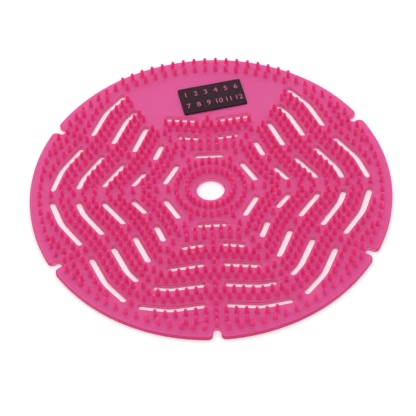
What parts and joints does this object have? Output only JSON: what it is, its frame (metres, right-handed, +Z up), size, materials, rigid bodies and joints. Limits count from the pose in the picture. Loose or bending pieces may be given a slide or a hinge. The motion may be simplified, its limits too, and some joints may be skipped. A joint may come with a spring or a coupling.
{
  "type": "urinal deodorizer screen",
  "caption": "Round flexible mat of upright studs and drain slots round a centre hole, laid in the bottom of a urinal to scent it and stop splashes.",
  "frame": {"origin": "under the middle of the mat, on its flat underside", "axes": "+Z up through the centre hole, the way the studs point; +Y toward the bare field; +X to the right of it"},
  "size_m": [0.1862, 0.186, 0.0072],
  "materials": {
    "screen": "satin moulded soft plastic, bright pink, slightly translucent"
  },
  "bodies": {
    "root": {"screen": "screen"}
  },
  "joints": []
}
